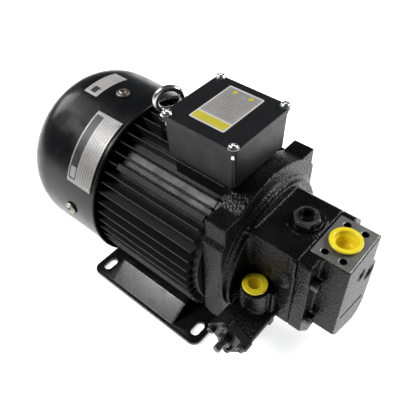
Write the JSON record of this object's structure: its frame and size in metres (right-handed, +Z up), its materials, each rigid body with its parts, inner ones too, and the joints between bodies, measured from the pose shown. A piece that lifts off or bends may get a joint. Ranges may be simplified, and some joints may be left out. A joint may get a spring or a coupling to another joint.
{
  "type": "axial piston pump",
  "caption": "Variable swash-plate axial piston pump on a foot-mounted finned electric motor, with terminal box, fan cover, lifting eye and compensator.",
  "frame": {"origin": "on the ground under the middle of the bounding box; the feet stand on z = 0 and the shaft line is 100 mm up, 7.35 mm to +Y", "axes": "+X along the shaft from the cooling fan to the pump, +Z up, -Y the side that carries the compensator"},
  "size_m": [0.3756, 0.2134, 0.2404],
  "materials": {
    "black_paint": "satin black enamel",
    "gloss_black_paint": "gloss black enamel",
    "cast_black_paint": "black paint over rough cast iron",
    "bright_steel": "ground or zinc-plated steel",
    "dark_steel": "black-oxide steel",
    "electrical_steel": "laminated electrical steel",
    "copper_winding": "varnished copper winding",
    "bronze": "bearing bronze",
    "seal_rubber": "nitrile rubber",
    "yellow_plastic": "yellow transport plug",
    "black_plastic": "moulded black plastic",
    "plate_aluminium": "satin rating plate"
  },
  "bodies": {
    "housing": {"foot_plate": "black_paint", "motor_frame": "black_paint", "stator_core": "electrical_steel", "stator_winding": "copper_winding", "rear_end_shield": "black_paint", "rear_bearing_outer": "bright_steel", "front_bearing_outer": "bright_steel", "fan_cover": "gloss_black_paint", "cover_screw_1": "bright_steel", "cover_screw_2": "bright_steel", "cover_screw_3": "bright_steel", "cover_screw_4": "bright_steel", "rating_plate": "plate_aluminium", "lifting_eye": "bright_steel", "terminal_box": "black_paint", "terminal_box_lid": "black_paint", "terminal_block": "black_plastic", "lid_screw_1": "bright_steel", "lid_screw_2": "bright_steel", "lid_screw_3": "bright_steel", "lid_screw_4": "bright_steel", "pump_body": "cast_black_paint", "shaft_seal": "seal_rubber", "end_cover": "cast_black_paint", "valve_plate": "bronze", "filler_plug": "dark_steel", "bias_spring": "bright_steel", "compensator_body": "cast_black_paint", "compensator_cap": "cast_black_paint", "adjusting_spring": "bright_steel", "lock_nut": "dark_steel"},
    "shaft": {"drive_shaft": "bright_steel", "rotor_core": "electrical_steel", "cooling_fan": "black_plastic", "rear_bearing_inner": "bright_steel", "front_bearing_inner": "bright_steel", "cylinder_block": "dark_steel"},
    "swash": {"swash_plate": "dark_steel"},
    "retainer": {"retainer_plate": "bright_steel"},
    "stroking_piston": {"control_piston": "bright_steel"},
    "inlet_cap": {"inlet_plug": "yellow_plastic"},
    "outlet_cap": {"outlet_plug": "yellow_plastic"},
    "spool": {"compensator_spool": "bright_steel"},
    "seat": {"spring_seat": "dark_steel"},
    "adjuster": {"pressure_screw": "dark_steel"},
    "shoe_1": {"piston_shoe_1": "bronze"},
    "plunger_1": {"piston_1": "bright_steel"},
    "shoe_2": {"piston_shoe_2": "bronze"},
    "plunger_2": {"piston_2": "bright_steel"},
    "shoe_3": {"piston_shoe_3": "bronze"},
    "plunger_3": {"piston_3": "bright_steel"},
    "shoe_4": {"piston_shoe_4": "bronze"},
    "plunger_4": {"piston_4": "bright_steel"},
    "shoe_5": {"piston_shoe_5": "bronze"},
    "plunger_5": {"piston_5": "bright_steel"},
    "shoe_6": {"piston_shoe_6": "bronze"},
    "plunger_6": {"piston_6": "bright_steel"},
    "shoe_7": {"piston_shoe_7": "bronze"},
    "plunger_7": {"piston_7": "bright_steel"}
  },
  "joints": [
    {"name": "shaft_spin", "type": "hinge", "parent": "housing", "child": "shaft", "pos_m": [-0.0098, 0.00735, 0.1], "axis": [1, 0, 0], "continuous": true},
    {"name": "swash_tilt", "type": "hinge", "parent": "housing", "child": "swash", "pos_m": [0.0942, 0.00735, 0.1], "axis": [0, 1, 0], "range_deg": [0, 15], "deforming": ["bias_spring"]},
    {"name": "retainer_turn", "type": "hinge", "parent": "swash", "child": "retainer", "pos_m": [0.0942, 0.00735, 0.1], "axis": [1, 0, 0], "continuous": true},
    {"name": "stroking_slide", "type": "slide", "parent": "housing", "child": "stroking_piston", "axis": [1, 0, 0], "range_m": [0, 0.0111]},
    {"name": "inlet_plug_pull", "type": "slide", "parent": "housing", "child": "inlet_cap", "axis": [0, 0, 1], "range_m": [0, 0.014]},
    {"name": "outlet_plug_pull", "type": "slide", "parent": "housing", "child": "outlet_cap", "axis": [0, 0, 1], "range_m": [0, 0.013]},
    {"name": "spool_shift", "type": "slide", "parent": "housing", "child": "spool", "axis": [0, -1, 0], "range_m": [-0.0015, 0.0008], "stiffness_N_per_m": 4000, "deforming": ["adjusting_spring"]},
    {"name": "seat_feed", "type": "slide", "parent": "housing", "child": "seat", "axis": [0, 1, 0], "range_m": [-0.0015, 0.0015]},
    {"name": "adjuster_turn", "type": "hinge", "parent": "seat", "child": "adjuster", "pos_m": [0.1147, -0.09265, 0.07], "axis": [0, 1, 0], "range_deg": [-540.01, 540.01]},
    {"name": "shoe_1_turn", "type": "hinge", "parent": "retainer", "child": "shoe_1", "pos_m": [0.0942, 0.03135, 0.1], "axis": [1, 0, 0], "continuous": true},
    {"name": "piston_1_swivel", "type": "hinge", "parent": "shoe_1", "child": "plunger_1", "pos_m": [0.0942, 0.03135, 0.1], "axis": [0, 1, 0], "range_deg": [-15, 0]},
    {"name": "shoe_2_turn", "type": "hinge", "parent": "retainer", "child": "shoe_2", "pos_m": [0.0942, 0.02231, 0.11876], "axis": [1, 0, 0], "continuous": true},
    {"name": "piston_2_swivel", "type": "hinge", "parent": "shoe_2", "child": "plunger_2", "pos_m": [0.0942, 0.02231, 0.11876], "axis": [0, 1, 0], "range_deg": [-15, 0]},
    {"name": "shoe_3_turn", "type": "hinge", "parent": "retainer", "child": "shoe_3", "pos_m": [0.0942, 0.00201, 0.1234], "axis": [1, 0, 0], "continuous": true},
    {"name": "piston_3_swivel", "type": "hinge", "parent": "shoe_3", "child": "plunger_3", "pos_m": [0.0942, 0.00201, 0.1234], "axis": [0, 1, 0], "range_deg": [-15, 0]},
    {"name": "shoe_4_turn", "type": "hinge", "parent": "retainer", "child": "shoe_4", "pos_m": [0.0942, -0.01427, 0.11041], "axis": [1, 0, 0], "continuous": true},
    {"name": "piston_4_swivel", "type": "hinge", "parent": "shoe_4", "child": "plunger_4", "pos_m": [0.0942, -0.01427, 0.11041], "axis": [0, 1, 0], "range_deg": [-15, 0]},
    {"name": "shoe_5_turn", "type": "hinge", "parent": "retainer", "child": "shoe_5", "pos_m": [0.0942, -0.01427, 0.08959], "axis": [1, 0, 0], "continuous": true},
    {"name": "piston_5_swivel", "type": "hinge", "parent": "shoe_5", "child": "plunger_5", "pos_m": [0.0942, -0.01427, 0.08959], "axis": [0, 1, 0], "range_deg": [-15, 0]},
    {"name": "shoe_6_turn", "type": "hinge", "parent": "retainer", "child": "shoe_6", "pos_m": [0.0942, 0.00201, 0.0766], "axis": [1, 0, 0], "continuous": true},
    {"name": "piston_6_swivel", "type": "hinge", "parent": "shoe_6", "child": "plunger_6", "pos_m": [0.0942, 0.00201, 0.0766], "axis": [0, 1, 0], "range_deg": [-15, 0]},
    {"name": "shoe_7_turn", "type": "hinge", "parent": "retainer", "child": "shoe_7", "pos_m": [0.0942, 0.02231, 0.08124], "axis": [1, 0, 0], "continuous": true},
    {"name": "piston_7_swivel", "type": "hinge", "parent": "shoe_7", "child": "plunger_7", "pos_m": [0.0942, 0.02231, 0.08124], "axis": [0, 1, 0], "range_deg": [-15, 0]}
  ],
  "couplings": [
    {"joint": "retainer_turn", "follows": "shaft_spin", "ratio": 1},
    {"joint": "stroking_slide", "follows": "swash_tilt", "m_per_rad": 0.042},
    {"joint": "adjuster_turn", "follows": "seat_feed", "rad_per_m": 6283.2},
    {"joint": "shoe_1_turn", "follows": "shaft_spin", "ratio": -1},
    {"joint": "piston_1_swivel", "follows": "swash_tilt", "ratio": -1},
    {"joint": "shoe_2_turn", "follows": "shaft_spin", "ratio": -1},
    {"joint": "piston_2_swivel", "follows": "swash_tilt", "ratio": -1},
    {"joint": "shoe_3_turn", "follows": "shaft_spin", "ratio": -1},
    {"joint": "piston_3_swivel", "follows": "swash_tilt", "ratio": -1},
    {"joint": "shoe_4_turn", "follows": "shaft_spin", "ratio": -1},
    {"joint": "piston_4_swivel", "follows": "swash_tilt", "ratio": -1},
    {"joint": "shoe_5_turn", "follows": "shaft_spin", "ratio": -1},
    {"joint": "piston_5_swivel", "follows": "swash_tilt", "ratio": -1},
    {"joint": "shoe_6_turn", "follows": "shaft_spin", "ratio": -1},
    {"joint": "piston_6_swivel", "follows": "swash_tilt", "ratio": -1},
    {"joint": "shoe_7_turn", "follows": "shaft_spin", "ratio": -1},
    {"joint": "piston_7_swivel", "follows": "swash_tilt", "ratio": -1}
  ]
}
